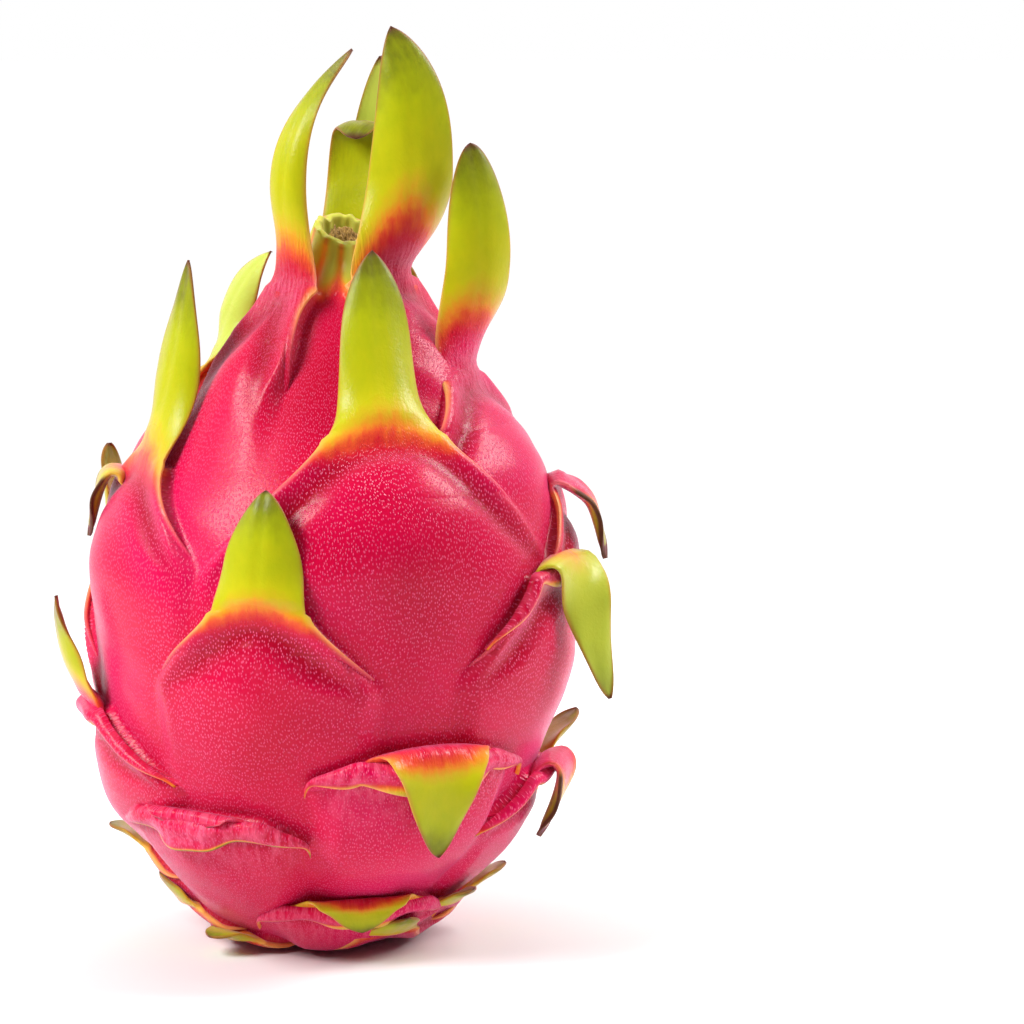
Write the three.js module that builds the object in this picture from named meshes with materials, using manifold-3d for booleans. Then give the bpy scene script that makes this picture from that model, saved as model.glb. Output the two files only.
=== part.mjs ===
// A whole dragon fruit standing on its stem end, with its green-tipped scales still on.
// Millimetres, +Z up. The fruit's front faces -Y, and an azimuth is counted in degrees from there towards +X.

import * as THREE from 'three';
import { mergeVertices } from 'three/addons/utils/BufferGeometryUtils.js';
import Module from 'manifold-3d';

const wasm = await Module();
wasm.setup();

// Outline of the bare fruit, from the flat spot that it stands on to the rim of its neck: height, radius.
const OUTLINE = [
  [0, 11.5], [2, 15.8], [5, 20.2], [9, 24], [15, 28.3], [22, 33.8], [30, 38.2], [45, 42.2], [60, 43.4],
  [74, 42.2], [86, 37.8], [96, 31], [106, 22.8], [115, 15.8], [124, 9.8], [129, 7], [133, 5.7],
];
const OUTLINE_STEPS = 400;

// The dimple round the cut stem below, and the cup left by the flower above.
const DIMPLE_RADIUS = 8;
const DIMPLE_DEPTH = 3.4;
const CUP_RADIUS = 4.3;
const CUP_DEPTH = 4.2;
const DIMPLE_SAG = 0.4;
const STEM_RADIUS = 4.8;
const STEM_CLEARANCE = 0.6;
const REMNANT_RADIUS = 3.2;
const REMNANT_HEIGHT = 2.9;
const POLE_RADIUS = 0.6;

// The fruit leans a little to one side and forwards, so its centre line moves over with height.
const LEAN_X = 5;
const LEAN_Y = -2.3;

// The neck broke off aslant: from NECK_START up to the rim it drops more and more towards the front and a
// little to the right, by these shares of the distance in front of the centre line and to the right of it.
const NECK_START = 121;
const NECK_DROP_FRONT = 0.42;
const NECK_DROP_RIGHT = 0.15;
const NECK_FADE = 8;

// Scales follow each other up the fruit by the golden angle.
const SCALE_COUNT = 36;
const FIRST_AZIMUTH = 34;
const GOLDEN_ANGLE = 137.508;
const MIDDLE_HEIGHT = 66;
const MIDDLE_INDEX = 19;
const HEIGHT_SPREAD = 13;

// The shield is the broad foot of a scale, grown into the skin below its free blade. FLARE gives how far it
// has widened, from its root, 0, to its widest, 1, at shares of the flare's length. Near the neck that
// length is CROWN_FLARE at least.
const SHIELD_STEP = 3.0;
const SHIELD_LENGTH = 44;
const SHIELD_BULGE = 2.0;
const WIDEST_RADIUS = 43;
const FLARE = [[0, 0], [0.12, 0.07], [0.3, 0.26], [0.6, 0.62], [0.85, 0.92], [1, 1]];
const CROWN_FLARE = 18;
const MARGIN_SOFTNESS = 3.6;
const FADED_SOFTNESS = 6;

// A scale's foot in the skin, as [distance below the root, how far its outer face stands out of the shield].
const FOOT = [[9, -2.4], [3, 0.3]];
const ROOT_SINK = 2.4;
const TIP_HALF = 0.45;

const BODY_AROUND = 60;
const BODY_UP = 32;
const GAP = 0.35;

const DEG = Math.PI / 180;
const mix = (a, b, t) => a + (b - a) * t;

function smooth(x) {
  const t = Math.min(1, Math.max(0, x));
  return t * t * (3 - 2 * t);
}

// A smooth curve through [x, y] keys: a cubic in each gap, with slopes from the neighbouring keys.
function curveThrough(keys) {
  const slope = keys.map((_, i) => {
    const [x0, y0] = keys[Math.max(0, i - 1)];
    const [x1, y1] = keys[Math.min(keys.length - 1, i + 1)];
    return (y1 - y0) / (x1 - x0);
  });
  return (x) => {
    let i = 0;
    while (i < keys.length - 2 && x > keys[i + 1][0]) i += 1;
    const [x0, y0] = keys[i];
    const [x1, y1] = keys[i + 1];
    const span = x1 - x0;
    const t = Math.min(1, Math.max(0, (x - x0) / span));
    return y0 * (1 + 2 * t) * (1 - t) ** 2 + y1 * t * t * (3 - 2 * t)
      + span * t * (1 - t) * (slope[i] * (1 - t) - slope[i + 1] * t);
  };
}

// The outline as a table over its own length, so that distances on the skin are true.
const radiusAt = curveThrough(OUTLINE);
const RIM_HEIGHT = OUTLINE[OUTLINE.length - 1][0];
const outlineTable = [{ s: 0, z: 0, r: radiusAt(0) }];
for (let i = 1; i <= OUTLINE_STEPS; i += 1) {
  const last = outlineTable[i - 1];
  const z = (RIM_HEIGHT * i) / OUTLINE_STEPS;
  const r = radiusAt(z);
  outlineTable.push({ s: last.s + Math.hypot(z - last.z, r - last.r), z, r });
}
const OUTLINE_LENGTH = outlineTable[OUTLINE_STEPS].s;

function lengthAt(z) {
  const i = Math.min(OUTLINE_STEPS - 1, Math.floor((z / RIM_HEIGHT) * OUTLINE_STEPS));
  const a = outlineTable[i];
  const b = outlineTable[i + 1];
  return mix(a.s, b.s, (z - a.z) / (b.z - a.z));
}

// The outline's point at length s, with tilt the angle of its upward tangent from the vertical, outwards
// positive.
function outlineAt(s) {
  const wanted = Math.min(OUTLINE_LENGTH, Math.max(0, s));
  let low = 0;
  let high = OUTLINE_STEPS;
  while (high - low > 1) {
    const middle = (low + high) >> 1;
    if (outlineTable[middle].s <= wanted) low = middle;
    else high = middle;
  }
  const a = outlineTable[low];
  const b = outlineTable[high];
  const t = (wanted - a.s) / (b.s - a.s);
  return { z: mix(a.z, b.z, t), r: mix(a.r, b.r, t), tilt: Math.atan2(b.r - a.r, b.z - a.z) };
}

// Turns a point given by azimuth, distance from the centre line and height into x, y, z.
function place(azimuth, r, z) {
  const bend = Math.max(0, z / RIM_HEIGHT) ** 1.2;
  return new THREE.Vector3(
    Math.sin(azimuth) * r + LEAN_X * bend,
    -Math.cos(azimuth) * r + LEAN_Y * bend,
    z,
  );
}

// The scales that stand out on the front and in the crown, by their number up the fruit. azimuth and height
// place the blade's root, half is its half width there and length its free length. path gives the blade's
// direction along that length as [share, degrees from the vertical], with 90 straight out and 180 hanging
// down, and twist turns it about its midline in degrees. waist is its width past the root as a share of the
// root's, fullness how late it narrows, and a smaller blunt makes a rounder tip. Its shield widens by flare
// millimetres to each side for every one down, to spread degrees, and neck narrows it below the root.
const SHAPED = {
  2: { azimuth: -47, height: 5, half: 6, length: 7, path: [[0.5, 82], [1, 96]] },
  5: { azimuth: 13, height: 13, half: 14, length: 7, path: [[0.3, 100], [0.6, 150], [1, 176]],
    waist: 0.62, fullness: 2, spread: 40 },
  7: { azimuth: -75, height: 9.5, half: 7, length: 8, path: [[0.5, 44], [1, 30]] },
  8: { azimuth: 58, height: 10.5, half: 6.5, length: 6, path: [[0.5, 66], [1, 60]] },
  10: { azimuth: -37, height: 30.5, half: 14, length: 6, path: [[0.25, 90], [0.5, 140], [1, 165]],
    waist: 0.85, fullness: 2, spread: 32 },
  12: { azimuth: -94, height: 19, half: 7, length: 8, path: [[0.4, 64], [1, 78]] },
  13: { azimuth: 22, height: 42, half: 13.5, length: 24, path: [[0.12, 72], [0.3, 150], [0.6, 184], [1, 190]],
    waist: 0.7, fullness: 1.9, spread: 31, flare: 2.2 },
  15: { azimuth: -77, height: 47, half: 7.8, length: 21.5, path: [[0.2, 30], [0.6, 14], [1, 8]] },
  16: { azimuth: 77, height: 34.5, half: 9.8, length: 18,
    path: [[0.06, 56], [0.15, 140], [0.32, 188], [1, 206]], waist: 0.6, spread: 34 },
  18: { azimuth: -17, height: 68.5, half: 8.7, length: 21.5, path: [[0.4, -6], [1, -18]],
    waist: 0.94, fullness: 2.2, spread: 30 },
  19: { length: 20, path: [[0.4, -10], [1, -24]] },
  20: { azimuth: -116, height: 71, half: 8, length: 20, path: [[0.4, 14], [1, 4]] },
  21: { azimuth: 66, height: 72, half: 10.5, length: 28.5, path: [[0.04, 70], [0.1, 140], [0.2, 160], [1, 161]],
    twist: -38, waist: 0.52, fullness: 1.9, spread: 36 },
  23: { azimuth: -71, height: 91, half: 8.8, length: 36.5, path: [[0.25, -14], [0.6, -8], [1, -3]],
    twist: -20, fullness: 2.2 },
  24: { azimuth: 84, height: 84.5, half: 6.2, length: 19.5,
    path: [[0.05, 80], [0.15, 118], [0.35, 132], [0.5, 158], [1, 167]] },
  25: { length: 18, path: [[0.4, -22], [1, -32]] },
  26: { azimuth: 15, height: 97, half: 10.4, length: 34.5, path: [[0.3, -24], [1, -19]],
    waist: 0.72, fullness: 3.3, spread: 52 },
  27: { azimuth: 153, length: 23 },
  28: { azimuth: -88, height: 86, half: 6.5, length: 15,
    path: [[0.08, 60], [0.2, 140], [0.4, 164], [1, 172]] },
  29: { azimuth: 67, height: 105, half: 9.5, length: 43, path: [[0.1, 0], [0.25, 12], [0.6, -5], [1, -14]],
    twist: 46, waist: 0.66, fullness: 3.6, blunt: 0.55, neck: 0.1, spread: 50 },
  30: { azimuth: -161, height: 101, half: 7.6, length: 25, path: [[0.3, -18], [1, -12]] },
  31: { azimuth: -52, height: 122, half: 7.3, length: 47.5,
    path: [[0.1, -2], [0.25, 12], [0.42, -4], [0.62, -26], [0.8, -42], [1, -48]],
    twist: -10, waist: 0.57, neck: 0.3, spread: 50 },
  32: { azimuth: 156, height: 114, half: 9.5, length: 50, path: [[0.25, -6], [0.6, 2], [1, -12]] },
  33: { azimuth: -112, height: 106, half: 7, length: 24, path: [[0.25, -14], [0.6, -28], [1, -46]] },
  34: { azimuth: 56, height: 123, half: 9.2, length: 47,
    path: [[0.1, -2], [0.28, 10], [0.55, -4], [0.8, -20], [1, -32]],
    twist: 48, waist: 0.84, fullness: 3.2, neck: 0.2, spread: 50 },
  35: { azimuth: 170, height: 126, half: 7.4, length: 31,
    path: [[0.25, 12], [0.6, 8], [0.76, -16], [0.86, -95], [1, -168]], fullness: 6, blunt: 0.5 },
};

// Park and Miller's generator, so that the draws are the same on every run.
let seed = 4242;
function draw(low, high) {
  seed = (seed * 48271) % 2147483647;
  return mix(low, high, seed / 2147483647);
}

// The rule for every other scale: short and turned out near the stem, longer and erect higher up.
function scaleByRule(index) {
  const height = MIDDLE_HEIGHT * (1 + Math.tanh((index - MIDDLE_INDEX) / HEIGHT_SPREAD));
  const azimuth = FIRST_AZIMUTH + GOLDEN_ANGLE * index + draw(-4, 4);
  const grown = smooth(height / 90);
  const droops = draw(0, 1) < 0.35 && height > 25 && height < 80;
  const half = mix(6, 8.4, smooth(height / 50)) * draw(0.94, 1.06);
  const length = mix(7, 36, grown) * draw(0.92, 1.08);
  const out = mix(66, -6, smooth(height / 95)) + draw(-6, 6);
  const path = droops ? [[0.18, 80], [0.42, 160], [1, 186]] : [[0.35, out], [1, out - 8]];
  const flare = mix(2, 0.85, smooth((height - 30) / 35));
  return { azimuth, height, half, length, path, flare };
}

const scales = [];
for (let index = 0; index < SCALE_COUNT; index += 1) {
  const plain = { twist: 0, waist: 0.78, fullness: 2.8, blunt: 0.75, neck: 0, spread: 38 };
  const made = { ...plain, ...scaleByRule(index), ...SHAPED[index] };
  const s = lengthAt(made.height);
  const root = outlineAt(s);
  const atRoot = made.half / root.r;
  const widest = Math.max(made.spread * DEG, atRoot * 1.1);
  const flareLength = Math.max(
    ((widest - atRoot) * WIDEST_RADIUS) / made.flare,
    CROWN_FLARE * smooth((made.height - 85) / 25),
  );
  scales.push({ ...made, s, root, atRoot, widest, flareLength, azimuth: made.azimuth * DEG });
}

const widenedAt = curveThrough(FLARE);

// Half the angle that a shield spans at the distance below its root.
function shieldHalfAngle(scale, below) {
  const t = below / 6;
  const narrowed = 1 - scale.neck * t * Math.exp(1 - t);
  return mix(scale.atRoot, scale.widest, widenedAt(below / scale.flareLength)) * narrowed;
}

// How far a shield stands out of the bare fruit: it rises from its foot to its upper margin, bulges in the
// middle, and dips under the root of the blade.
function shieldHeight(across, below) {
  const rise = SHIELD_STEP * smooth(1 - below / SHIELD_LENGTH);
  const bulge = SHIELD_BULGE * Math.exp(-((across / 13) ** 2) - ((below - 19) / 10) ** 2);
  const dip = 1.1 * Math.exp(-((across / 9) ** 2) - ((below - 6.5) / 4) ** 2);
  return rise + bulge - dip;
}

// Relief of the whole skin: shields are laid one over the other from the neck down, as the lower scale is
// the outer one.
function relief(azimuth, s) {
  const at = outlineAt(s);
  let height = 0;
  for (let i = scales.length - 1; i >= 0; i -= 1) {
    const scale = scales[i];
    const below = scale.s - s;
    if (below < 0 || below > SHIELD_LENGTH * 1.3) continue;
    const turn = Math.atan2(Math.sin(azimuth - scale.azimuth), Math.cos(azimuth - scale.azimuth));
    const across = turn * at.r;
    const inside = (shieldHalfAngle(scale, below) - Math.abs(turn)) * at.r;
    const clear = smooth((1.25 - below / scale.flareLength) / 0.75);
    const softness = mix(FADED_SOFTNESS, MARGIN_SOFTNESS, clear);
    const cover = smooth(inside / softness) * smooth(below / MARGIN_SOFTNESS);
    height = mix(height, shieldHeight(across, below), cover);
  }
  return height * smooth(at.z / 5) * smooth((RIM_HEIGHT - at.z) / NECK_FADE);
}

// A closed solid from rings of points, all of one length: quads between rings, and a flat cap at each end.
// A blade's outer and inner faces are the two halves of its rings, and both are split into triangles the
// same way.
function solidFromRings(rings) {
  const around = rings[0].length;
  const points = rings.flat();
  const faces = [];
  for (let k = 0; k < rings.length - 1; k += 1) {
    for (let j = 0; j < around; j += 1) {
      const a = k * around + j;
      const b = k * around + ((j + 1) % around);
      if (j < around / 2) faces.push(a, b, b + around, a, b + around, a + around);
      else faces.push(a, b, a + around, b, b + around, a + around);
    }
  }
  const last = (rings.length - 1) * around;
  for (let j = 1; j < around - 1; j += 1) {
    faces.push(0, j + 1, j, last, last + j, last + j + 1);
  }
  const geometry = new THREE.BufferGeometry();
  const positions = new Float32Array(points.flatMap((p) => p.toArray()));
  geometry.setAttribute('position', new THREE.BufferAttribute(positions, 3));
  geometry.setIndex(faces);
  return toManifold(geometry);
}

function toManifold(geometry) {
  geometry.deleteAttribute('normal');
  geometry.deleteAttribute('uv');
  const merged = mergeVertices(geometry, 1e-4);
  return new wasm.Manifold(new wasm.Mesh({
    numProp: 3,
    vertProperties: merged.getAttribute('position').array,
    triVerts: new Uint32Array(merged.index.array),
  }));
}

function toGeometry(solid) {
  const mesh = solid.getMesh();
  const geometry = new THREE.BufferGeometry();
  geometry.setAttribute('position', new THREE.BufferAttribute(new Float32Array(mesh.vertProperties), 3));
  geometry.setIndex(new THREE.BufferAttribute(mesh.triVerts, 1));
  return geometry;
}

// The shear that drops the neck's rim, in full, with the centre line's top at the origin of x and y.
const NECK_SHEAR = new THREE.Matrix4().makeShear(0, -NECK_DROP_RIGHT, 0, NECK_DROP_FRONT, 0, 0);

function dropNeck(point, amount) {
  const drop = NECK_DROP_FRONT * (point.y - LEAN_Y) - NECK_DROP_RIGHT * (point.x - LEAN_X);
  point.z += drop * amount;
  return point;
}

// Flesh and skin in one: rings from the middle of the stem's dimple, over the flat spot and up the outline,
// to the bottom of the flower's cup.
function makeBody() {
  const azimuths = Array.from({ length: BODY_AROUND }, (_, j) => (j * 2 * Math.PI) / BODY_AROUND);
  const ring = (point) => azimuths.map(point);
  const level = (r, z, drop = 0) => ring((azimuth) => dropNeck(place(azimuth, r, z), drop));
  const rings = [
    level(POLE_RADIUS, DIMPLE_DEPTH),
    level(DIMPLE_RADIUS - 1.6, DIMPLE_DEPTH - DIMPLE_SAG),
    level(DIMPLE_RADIUS, 0),
  ];
  for (let k = 0; k <= BODY_UP; k += 1) {
    const s = (OUTLINE_LENGTH * k) / BODY_UP;
    const at = outlineAt(s);
    const drop = smooth((at.z - NECK_START) / (RIM_HEIGHT - NECK_START));
    rings.push(ring((azimuth) => {
      const out = relief(azimuth, s);
      return dropNeck(place(azimuth, at.r + out * Math.cos(at.tilt), at.z - out * Math.sin(at.tilt)), drop);
    }));
  }
  rings.push(
    level(CUP_RADIUS, RIM_HEIGHT, 1),
    level(CUP_RADIUS - 0.8, RIM_HEIGHT - CUP_DEPTH, 1),
    level(POLE_RADIUS, RIM_HEIGHT - CUP_DEPTH, 1),
  );
  return solidFromRings(rings);
}

// The midline of a free blade, walked from its root in its own upright plane: distance out, height and
// direction.
function bladePath(scale) {
  const start = shieldHeight(0, 0);
  const { r, z, tilt } = scale.root;
  const direction = curveThrough([[0, tilt / DEG], ...scale.path]);
  const steps = 60;
  const step = scale.length / steps;
  const path = [{ r: r + start * Math.cos(tilt), z: z - start * Math.sin(tilt), tilt }];
  for (let i = 1; i <= steps; i += 1) {
    const last = path[i - 1];
    const angle = direction((i - 0.5) / steps) * DEG;
    path.push({ r: last.r + step * Math.sin(angle), z: last.z + step * Math.cos(angle), tilt: angle });
  }
  return path;
}

// Half width of a blade along its free length: it narrows quickly off the shield, stays broad, and ends in
// a point.
function bladeHalfWidth(scale, share) {
  const spread = 1 + (1 / scale.waist - 1) * Math.exp(-share / 0.13);
  return Math.max(TIP_HALF, scale.half * scale.waist * spread * (1 - share ** scale.fullness) ** scale.blunt);
}

// Cross-section of a blade as [share of the half width, share of the thickness]: outer face, then inner face.
const SECTION = [
  [-1, 0.3], [-0.45, 0.5], [0.45, 0.5], [1, 0.3], [1, -0.3], [0.45, -0.5], [-0.45, -0.5], [-1, -0.3],
];
const SMALL_SECTION = [[-1, 0.3], [0, 0.5], [1, 0.3], [1, -0.3], [0, -0.5], [-1, -0.3]];
const SMALL_LENGTH = 13;

// One scale: its foot lies in the skin and its margins stand just clear of it, and its blade grows free
// from the root.
function makeScale(scale) {
  const rings = [];
  const small = scale.length < SMALL_LENGTH;
  const section = small ? SMALL_SECTION : SECTION;
  const thick = mix(1.6, 2.4, smooth(scale.length / 20));
  for (const [below, proud] of FOOT) {
    const at = outlineAt(scale.s - below);
    const halfAngle = shieldHalfAngle(scale, below);
    rings.push(section.map(([u, v]) => {
      const azimuth = scale.azimuth + u * halfAngle;
      const out = relief(azimuth, scale.s - below) + proud + (v - 0.5) * thick - (v < 0 ? ROOT_SINK : 0);
      return place(azimuth, at.r + out * Math.cos(at.tilt), at.z - out * Math.sin(at.tilt));
    }));
  }
  const path = bladePath(scale);
  const shares = small ? [0, 0.4, 0.85, 1] : [0, 0.12, 0.27, 0.45, 0.65, 0.83, 0.94, 1];
  for (const share of shares) {
    const at = path[Math.round(share * (path.length - 1))];
    const half = bladeHalfWidth(scale, share);
    const curl = mix(1 / scale.root.r, 0.07, smooth(share * 3));
    const level = mix(0, at.tilt, smooth(share * 6));
    const roll = scale.twist * DEG * smooth(share * 1.5);
    const body = thick * mix(1, 0.62, share);
    rings.push(section.map(([u, v]) => {
      const turn = u * half * curl;
      const side = Math.sin(turn) / curl;
      const sunk = v < 0 ? ROOT_SINK * (1 - smooth(share * 10)) : 0;
      const out = (v - 0.5) * body - (1 - Math.cos(turn)) / curl + 0.5 - sunk;
      const rolledSide = side * Math.cos(roll) - out * Math.sin(roll);
      const rolledOut = side * Math.sin(roll) + out * Math.cos(roll);
      const r = at.r + rolledOut * Math.cos(level);
      const z = at.z - rolledOut * Math.sin(level);
      const sideways = new THREE.Vector3(Math.cos(scale.azimuth), Math.sin(scale.azimuth), 0);
      return place(scale.azimuth, r, z).addScaledVector(sideways, rolledSide);
    }));
  }
  return solidFromRings(rings);
}

// A turned shape from its profile of [distance from the axis, height].
function turned(profile, sides) {
  return new THREE.LatheGeometry(profile.map(([r, z]) => new THREE.Vector2(r, z)), sides).rotateX(Math.PI / 2);
}

// The cut stem: a short woody stub in the dimple, clear of what the fruit stands on.
function makeStem() {
  const top = DIMPLE_DEPTH - DIMPLE_SAG - GAP;
  return turned([
    [0, STEM_CLEARANCE], [STEM_RADIUS - 1.2, STEM_CLEARANCE], [STEM_RADIUS - 0.4, STEM_CLEARANCE + 0.4],
    [STEM_RADIUS, 2], [STEM_RADIUS - 0.2, top], [0, top],
  ], 16);
}

// What is left of the flower: a dry crumbly plug in the cup.
function makeFlowerRemnant() {
  const plug = turned([
    [0, 0], [REMNANT_RADIUS - 0.4, 0], [REMNANT_RADIUS, 1.6], [REMNANT_RADIUS - 0.5, 2.5],
    [REMNANT_RADIUS - 2, REMNANT_HEIGHT], [0, REMNANT_HEIGHT - 0.3],
  ], 14);
  return plug.applyMatrix4(NECK_SHEAR).translate(LEAN_X, LEAN_Y, RIM_HEIGHT - CUP_DEPTH + GAP);
}

const skin = new THREE.MeshStandardMaterial({ color: 0xd81e5b, roughness: 0.45 });
const wood = new THREE.MeshStandardMaterial({ color: 0x8a7b4a, roughness: 0.85 });
const dried = new THREE.MeshStandardMaterial({ color: 0x6b5424, roughness: 0.95 });

const body = makeBody();
const fruitSolid = scales.reduce((whole, scale) => whole.add(makeScale(scale)), body);
const fruit = new THREE.Mesh(toGeometry(fruitSolid), skin);
fruit.name = 'fruit';
const stem = new THREE.Mesh(makeStem(), wood);
stem.name = 'stem_stub';
const remnant = new THREE.Mesh(makeFlowerRemnant(), dried);
remnant.name = 'flower_remnant';

const dragonFruit = new THREE.Group();
dragonFruit.add(fruit, stem, remnant);

// The origin is on the ground under the middle of the fruit's overall size.
const box = new THREE.Box3().setFromObject(fruit);
dragonFruit.position.set(-(box.min.x + box.max.x) / 2, -(box.min.y + box.max.y) / 2, 0);

export default dragonFruit;
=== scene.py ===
# A whole red dragon fruit standing on its stem end: crimson peel under overlapping scales that turn
# green towards their tips, the dry remains of the flower in the cup on top, and the cut stem in the
# dimple underneath. +Z is up and the front faces -Y. An azimuth is counted from there towards +X.

import bpy
import numpy as np
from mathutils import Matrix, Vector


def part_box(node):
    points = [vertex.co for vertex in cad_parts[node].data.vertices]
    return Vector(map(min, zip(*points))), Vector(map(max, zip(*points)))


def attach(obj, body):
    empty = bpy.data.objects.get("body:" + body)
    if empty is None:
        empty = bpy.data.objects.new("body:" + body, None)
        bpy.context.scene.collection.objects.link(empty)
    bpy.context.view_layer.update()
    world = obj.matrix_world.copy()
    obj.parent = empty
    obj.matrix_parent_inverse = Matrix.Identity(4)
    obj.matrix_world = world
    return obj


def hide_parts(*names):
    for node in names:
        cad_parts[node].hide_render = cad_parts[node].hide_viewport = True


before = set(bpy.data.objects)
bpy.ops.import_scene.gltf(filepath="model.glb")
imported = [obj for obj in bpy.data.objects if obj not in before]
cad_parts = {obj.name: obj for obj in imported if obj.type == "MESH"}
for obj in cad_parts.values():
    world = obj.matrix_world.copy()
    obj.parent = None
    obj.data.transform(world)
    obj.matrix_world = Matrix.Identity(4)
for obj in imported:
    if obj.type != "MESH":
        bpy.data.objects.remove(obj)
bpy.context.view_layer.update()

# The peel
# The real piece is one grown body of flesh under a leathery peel. The feet of its scales, the shields,
# lie in the peel like overlapping tiles, lower over upper. Here it is one closed surface of turned rows
# with that relief.

MM = 0.001
DEG = np.pi / 180

stem_low, stem_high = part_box("stem_stub")
flower_low, flower_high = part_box("flower_remnant")
BASE = np.array((stem_low + stem_high) / 2)[:2] / MM
LEAN = np.array((flower_low + flower_high) / 2)[:2] / MM - BASE
LEAN_POWER = 1.2

# Height and radius of the bare fruit's outline in millimetres, from its flat spot to its neck's rim.
OUTLINE = [
    (0, 11.5), (2, 15.8), (5, 20.2), (9, 24), (15, 28.3), (22, 33.8), (30, 38.2), (45, 42.2), (60, 43.4),
    (74, 42.2), (86, 37.8), (96, 31), (106, 22.8), (115, 15.8), (124, 9.8), (129, 7), (133, 5.7),
]
RIM_HEIGHT = OUTLINE[-1][0]
RIM_WALL = 1.3
CUP_RADIUS = 4.3
CUP_DEPTH = 4.2
CUP_FLOOR_RADIUS = 3.2
DIMPLE_RADIUS = 8.4
DIMPLE_DEPTH = 3.4
FLAT_FADE = 5
NECK_FADE = 8


def smooth(x):
    """Zero below 0, one above 1, and 3t^2 - 2t^3 between."""
    t = np.clip(x, 0, 1)
    return t * t * (3 - 2 * t)


def mix(a, b, t):
    """a at t = 0 and b at t = 1, on a straight line."""
    return a + (b - a) * t


def bell(x):
    """e to the power of minus x squared: 1 at 0, and nearly 0 from 2 on."""
    return np.exp(-x ** 2)


def curve_through(keys, x):
    """A smooth curve through (x, y) keys. In each gap it is the cubic
    y0 (1 + 2t)(1 - t)^2 + y1 t^2 (3 - 2t) + w t (1 - t)(m0 (1 - t) - m1 t), where w is the gap's width
    and m0 and m1 are slopes taken from the keys on either side."""
    keys = np.asarray(keys, float)
    order = np.arange(len(keys))
    before = keys[np.maximum(order - 1, 0)]
    after = keys[np.minimum(order + 1, len(keys) - 1)]
    slope = (after[:, 1] - before[:, 1]) / (after[:, 0] - before[:, 0])
    i = np.clip(np.searchsorted(keys[:, 0], x, side="right") - 1, 0, len(keys) - 2)
    width = keys[i + 1, 0] - keys[i, 0]
    t = np.clip((x - keys[i, 0]) / width, 0, 1)
    ends = keys[i, 1] * (1 + 2 * t) * (1 - t) ** 2 + keys[i + 1, 1] * t * t * (3 - 2 * t)
    return ends + width * t * (1 - t) * (slope[i] * (1 - t) - slope[i + 1] * t)


outline_z = np.linspace(0, RIM_HEIGHT, 401)
outline_r = curve_through(OUTLINE, outline_z)
outline_s = np.concatenate([[0], np.cumsum(np.hypot(np.diff(outline_z), np.diff(outline_r)))])
outline_tilt = np.arctan2(np.gradient(outline_r), np.gradient(outline_z))
OUTLINE_LENGTH = outline_s[-1]


def outline_at(s):
    """Height, radius and tilt of the outline at length s along it. The tilt is the tangent's angle off
    the vertical."""
    return tuple(np.interp(s, outline_s, table) for table in (outline_z, outline_r, outline_tilt))


def place(azimuth, r, z):
    """Puts azimuth in radians, distance from the centre line and height into x, y, z. The centre line
    leans by LEAN at the rim, in proportion to height to the power LEAN_POWER."""
    bend = (np.maximum(z, 0) / RIM_HEIGHT) ** LEAN_POWER
    x = BASE[0] + np.sin(azimuth) * r + LEAN[0] * bend
    y = BASE[1] - np.cos(azimuth) * r + LEAN[1] * bend
    return np.stack(np.broadcast_arrays(x, y, z), -1)


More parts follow.
